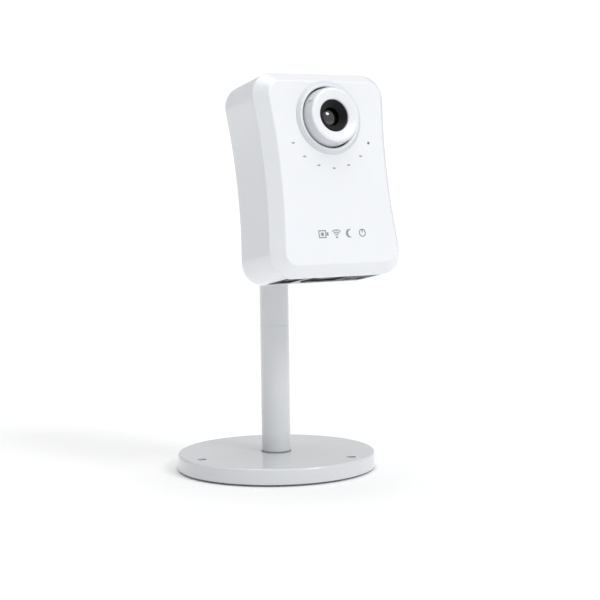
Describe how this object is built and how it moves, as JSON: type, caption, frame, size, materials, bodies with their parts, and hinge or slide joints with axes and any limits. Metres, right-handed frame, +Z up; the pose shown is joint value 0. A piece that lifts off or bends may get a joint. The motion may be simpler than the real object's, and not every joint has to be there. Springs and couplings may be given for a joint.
{
  "type": "desk security camera",
  "caption": "Slim upright network camera with a round focus ring, on a tilting ball joint, a slim round pole and a weighted disc base.",
  "frame": {"origin": "centre of the base's underside, where it stands on the desk", "axes": "+Z up along the pole, -Y the way the lens looks, +X to the right seen from the front"},
  "size_m": [0.096, 0.1116, 0.1879],
  "materials": {
    "shell_white": "glossy moulded white",
    "shell_grey": "glossy moulded pale grey",
    "stand_grey": "glossy moulded light grey",
    "pole_metal": "smooth satin paint",
    "steel": "plain",
    "brass_part": "turned",
    "black_plastic": "satin black",
    "dark_rubber": "matt",
    "lens_glass": "coated and polished",
    "filter_glass": "coated and polished",
    "clear_pipe": "moulded clear",
    "board_green": "lacquered laminate",
    "chip_black": "moulded",
    "aluminium_part": "extruded",
    "contact_gold": "plated",
    "label_paper": "matt film"
  },
  "bodies": {
    "stand": {"foot_pad": "dark_rubber", "ballast_plate": "steel", "base_cover": "stand_grey", "ballast_screws": "steel", "pole_gasket": "dark_rubber", "pole_lower": "pole_metal", "pole_upper": "pole_metal", "pole_joiner": "steel", "pole_foot_nut": "steel", "pole_washer": "steel", "pole_screw": "steel", "pole_top_plug": "aluminium_part", "swivel_screw": "steel"},
    "socket": {"ball_socket": "stand_grey", "socket_cap": "stand_grey", "cap_screws": "steel", "brake_pad": "dark_rubber"},
    "clamp": {"clamp_knob": "stand_grey", "clamp_screw": "steel"},
    "ball_joint": {"ball": "steel", "ball_stud": "steel"},
    "lock": {"lock_wheel": "stand_grey"},
    "head": {"rear_cover": "shell_white", "front_cover": "shell_white", "bezel_ring": "shell_white", "tripod_insert": "brass_part", "case_screws": "steel", "rating_label": "label_paper", "lens_mount": "black_plastic", "lens_mount_screws": "steel", "image_sensor": "chip_black", "ir_filter": "filter_glass", "main_board": "board_green", "board_screws": "steel", "processor": "chip_black", "heat_sink": "aluminium_part", "memory_chips": "chip_black", "radio_module": "aluminium_part", "antenna": "board_green", "pulse_transformer": "chip_black", "capacitors": "aluminium_part", "ethernet_jack": "black_plastic", "jack_contacts": "contact_gold", "power_jack": "black_plastic", "power_pin": "steel", "audio_jack": "black_plastic", "reset_switch": "chip_black", "light_pipes": "clear_pipe", "status_lamps": "label_paper", "microphone_boot": "dark_rubber", "microphone": "aluminium_part"},
    "focus": {"focus_ring": "shell_white"},
    "lens": {"lens_barrel": "black_plastic", "lens_retainer": "black_plastic", "front_lens": "lens_glass", "rear_lens": "lens_glass"},
    "reset": {"reset_button": "shell_grey"}
  },
  "joints": [
    {"name": "pan", "type": "hinge", "parent": "stand", "child": "socket", "pos_m": [0, 0, 0.106], "axis": [0, 0, 1], "continuous": true},
    {"name": "clamp_turn", "type": "hinge", "parent": "socket", "child": "clamp", "pos_m": [0, 0.0143, 0.1207], "axis": [0, 1, 0], "range_deg": [0, 270]},
    {"name": "tilt", "type": "hinge", "parent": "socket", "child": "ball_joint", "pos_m": [0, 0, 0.1207], "axis": [-1, 0, 0], "range_deg": [-25.5, 69.5]},
    {"name": "lock_turn", "type": "hinge", "parent": "ball_joint", "child": "lock", "pos_m": [0, -0.01966, 0.12434], "axis": [0, -0.9833, 0.1822], "range_deg": [0, 270]},
    {"name": "roll", "type": "hinge", "parent": "ball_joint", "child": "head", "pos_m": [0, -0.02301, 0.12496], "axis": [0, -0.9833, 0.1822], "range_deg": [-90, 90]},
    {"name": "focus_turn", "type": "hinge", "parent": "head", "child": "focus", "pos_m": [0, -0.05148, 0.16777], "axis": [0, -0.9833, 0.1822], "range_deg": [-135, 135]},
    {"name": "lens_slide", "type": "slide", "parent": "focus", "child": "lens", "axis": [0, -0.9833, 0.1822], "range_m": [-0.000187, 0.000187]},
    {"name": "reset_press", "type": "slide", "parent": "head", "child": "reset", "axis": [0, 0.1822, 0.9833], "range_m": [0, 0.0005], "stiffness_N_per_m": 400, "springref_m": -0.0005}
  ],
  "couplings": [
    {"joint": "focus_turn", "follows": "lens_slide", "rad_per_m": 12566}
  ]
}
